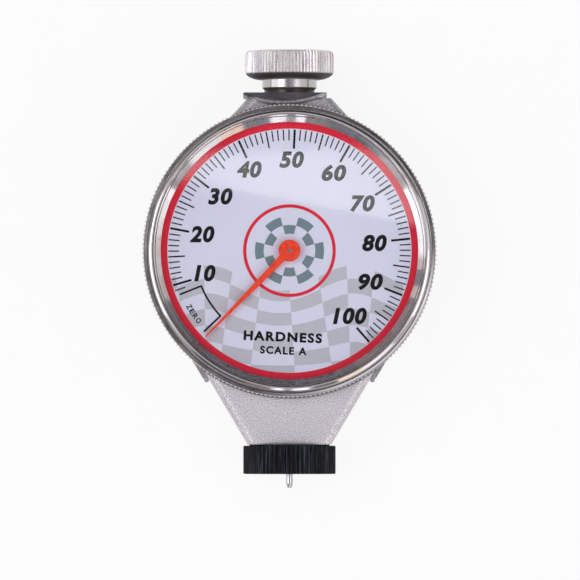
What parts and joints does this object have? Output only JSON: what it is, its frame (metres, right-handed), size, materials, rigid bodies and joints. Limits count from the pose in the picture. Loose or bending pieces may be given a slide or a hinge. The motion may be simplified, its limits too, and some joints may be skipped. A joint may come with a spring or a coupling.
{
  "type": "durometer",
  "caption": "Hand-held dial gauge for the hardness of rubber, with a sprung indenter in a presser foot, a turning bezel and a finger knob.",
  "frame": {"origin": "on the dial's axis, in the plane of the back cover's outer face", "axes": "+Z out of the dial towards the reader, +Y from the indenter towards the knob, +X to the reader's right"},
  "size_m": [0.0537, 0.08, 0.0211],
  "materials": {
    "cast_silver": "matte",
    "sheet_silver": "satin",
    "bright_chrome": "polished",
    "clear_crystal": "polished",
    "pale_dial": "satin",
    "orange_red": "gloss",
    "dark_steel": "satin",
    "black_steel": "satin",
    "hard_steel": "polished",
    "movement_brass": "satin",
    "spring_steel": "satin"
  },
  "bodies": {
    "case": {"case_body": "cast_silver", "back_cover": "sheet_silver", "cover_screws": "hard_steel", "knob_seat": "dark_steel", "front_plate": "movement_brass", "rear_plate": "movement_brass", "plate_pillars": "movement_brass", "movement_screws": "hard_steel", "guide_rail": "movement_brass", "upper_bush": "movement_brass", "lower_bush": "movement_brass", "measuring_spring": "spring_steel", "presser_foot": "black_steel", "hairspring": "spring_steel", "hairspring_stud": "hard_steel", "bezel_wire": "spring_steel"},
    "plunger": {"plunger_rod": "hard_steel", "indenter": "hard_steel", "guide_pin": "hard_steel"},
    "rack_train": {"rack_arbor": "hard_steel", "drive_wheel": "movement_brass"},
    "needle": {"centre_arbor": "hard_steel", "hairspring_collet": "movement_brass", "pointer": "orange_red"},
    "bezel": {"bezel_ring": "bright_chrome", "crystal": "clear_crystal", "dial_plate": "pale_dial"},
    "knob_carrier": {"knob_washer": "dark_steel"},
    "knob": {"knob": "bright_chrome"}
  },
  "joints": [
    {"name": "plunger_slide", "type": "slide", "parent": "case", "child": "plunger", "axis": [0, 1, 0], "range_m": [0, 0.0025], "stiffness_N_per_m": 3000, "springref_m": -0.00018, "deforming": ["measuring_spring"]},
    {"name": "rack_train_turn", "type": "hinge", "parent": "case", "child": "rack_train", "pos_m": [-0.0034, -0.00874, 0.009], "axis": [0, 0, 1], "range_deg": [0, 70]},
    {"name": "needle_turn", "type": "hinge", "parent": "case", "child": "needle", "pos_m": [0, 0, 0.012], "axis": [0, 0, 1], "range_deg": [-275, 0]},
    {"name": "bezel_turn", "type": "hinge", "parent": "case", "child": "bezel", "pos_m": [0, 0, 0.0164], "axis": [0, 0, 1], "continuous": true},
    {"name": "knob_rise", "type": "slide", "parent": "case", "child": "knob_carrier", "axis": [0, 1, 0], "range_m": [0, 0.0015]},
    {"name": "knob_turn", "type": "hinge", "parent": "knob_carrier", "child": "knob", "pos_m": [0, 0.034, 0.009], "axis": [0, 1, 0], "range_deg": [0, 720]}
  ],
  "couplings": [
    {"joint": "rack_train_turn", "follows": "plunger_slide", "rad_per_m": 476.19},
    {"joint": "needle_turn", "follows": "plunger_slide", "rad_per_m": -1904.8},
    {"joint": "knob_rise", "follows": "knob_turn", "m_per_rad": 0.00011141}
  ]
}
